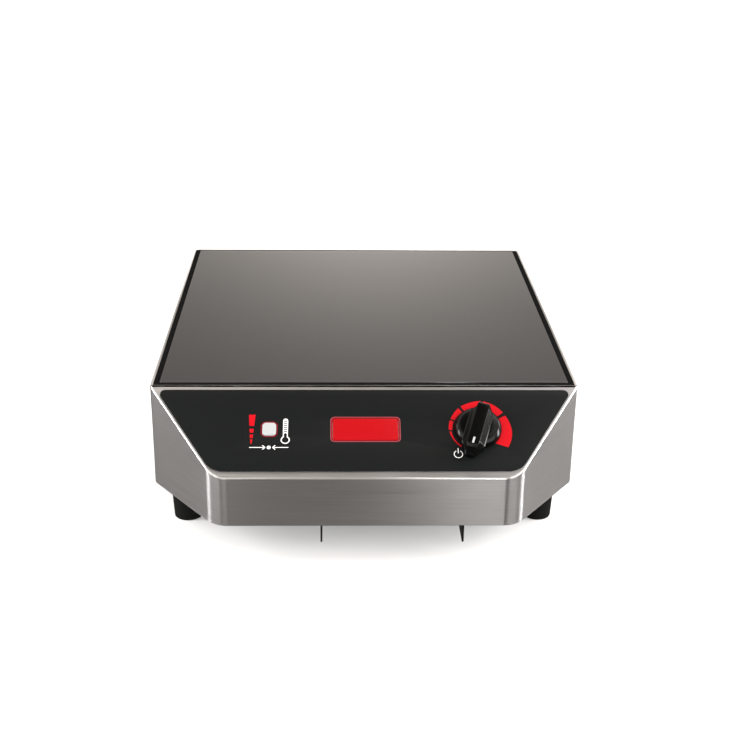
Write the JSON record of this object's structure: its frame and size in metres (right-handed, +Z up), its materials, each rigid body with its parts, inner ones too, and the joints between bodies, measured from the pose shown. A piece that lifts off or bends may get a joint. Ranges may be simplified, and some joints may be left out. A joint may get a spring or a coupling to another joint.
{
  "type": "induction hob",
  "caption": "Countertop induction hob: brushed steel housing with a flat glass top, a sloped control panel with knob, button and display, and rubber feet.",
  "frame": {"origin": "under the middle of the object, on the surface that the feet stand on", "axes": "+X to the right of a person facing the controls, +Y from the controls towards the rear panel, +Z up through the glass"},
  "size_m": [0.358, 0.4774, 0.1255],
  "materials": {
    "housing_steel": "fine horizontal brushing, satin stainless steel",
    "zinc_steel": "zinc plated sheet and fasteners",
    "rail_steel": "black zinc plated sheet",
    "glass_black": "polished black ceramic glass",
    "gasket_black": "matt silicone",
    "overlay_black": "satin printed polyester film",
    "lens_red": "translucent red acrylic",
    "button_white": "satin white",
    "knob_black": "moulded gloss phenolic",
    "foot_rubber": "matt moulded rubber",
    "plastic_grey": "moulded nylon",
    "plastic_black": "moulded nylon",
    "board_green": "soldermask over glass fibre laminate",
    "copper_wire": "enamelled stranded copper",
    "ferrite_grey": "sintered ferrite",
    "mica_tan": "pressed mica sheet",
    "aluminium_bare": "extruded and rolled",
    "film_blue": "potted capacitor case"
  },
  "bodies": {
    "body": {"housing": "housing_steel", "rear_panel": "housing_steel", "base_pan": "zinc_steel", "glass_gasket": "gasket_black", "glass_top": "glass_black", "rear_screw_left": "zinc_steel", "rear_screw_right": "zinc_steel", "filter_rail_left": "rail_steel", "filter_rail_right": "rail_steel", "control_overlay": "overlay_black", "display_window": "lens_red", "display_module": "plastic_grey", "mode_switch": "plastic_black", "potentiometer": "zinc_steel", "potentiometer_nut": "zinc_steel", "control_board": "board_green", "control_bracket": "zinc_steel", "coil_tray": "aluminium_bare", "coil_carrier": "plastic_grey", "coil_winding": "copper_wire", "mica_sheet": "mica_tan", "temperature_sensor": "button_white", "sensor_spring": "zinc_steel", "coil_lead": "copper_wire", "power_board": "board_green", "heatsink": "aluminium_bare", "bridge_rectifier": "plastic_black", "power_transistor": "plastic_black", "bus_capacitor": "film_blue", "filter_capacitor": "film_blue", "filter_choke": "copper_wire", "terminal_block": "button_white", "ribbon_cable": "plastic_grey", "fan_frame": "plastic_black", "air_duct": "plastic_grey", "cable_gland": "plastic_black", "gland_nut": "zinc_steel", "foot_1": "foot_rubber", "foot_screw_1": "zinc_steel", "ferrite_bar_1": "ferrite_grey", "foot_2": "foot_rubber", "foot_screw_2": "zinc_steel", "ferrite_bar_2": "ferrite_grey", "foot_3": "foot_rubber", "foot_screw_3": "zinc_steel", "ferrite_bar_3": "ferrite_grey", "foot_4": "foot_rubber", "foot_screw_4": "zinc_steel", "ferrite_bar_4": "ferrite_grey", "coil_spring_1": "zinc_steel", "coil_spring_2": "zinc_steel", "coil_spring_3": "zinc_steel"},
    "knob": {"control_knob": "knob_black", "knob_pointer": "button_white", "potentiometer_shaft": "zinc_steel"},
    "button": {"mode_button": "button_white", "switch_plunger": "plastic_black"},
    "fan": {"fan_impeller": "plastic_grey"},
    "filter": {"filter_frame": "plastic_grey", "filter_mesh": "aluminium_bare"}
  },
  "joints": [
    {"name": "knob_turn", "type": "hinge", "parent": "body", "child": "knob", "pos_m": [0.092, -0.19914, 0.10218], "axis": [0, 0.521, -0.8536], "range_deg": [0, 280]},
    {"name": "mode_button_press", "type": "slide", "parent": "body", "child": "button", "axis": [0, 0.521, -0.8536], "range_m": [0, 0.001], "stiffness_N_per_m": 800, "springref_m": -0.0015},
    {"name": "fan_spin", "type": "hinge", "parent": "body", "child": "fan", "pos_m": [0.0225, -0.11675, 0.05], "axis": [0, 0, 1], "continuous": true},
    {"name": "filter_slide", "type": "slide", "parent": "body", "child": "filter", "axis": [0, -1, 0], "range_m": [0, 0.165]}
  ]
}
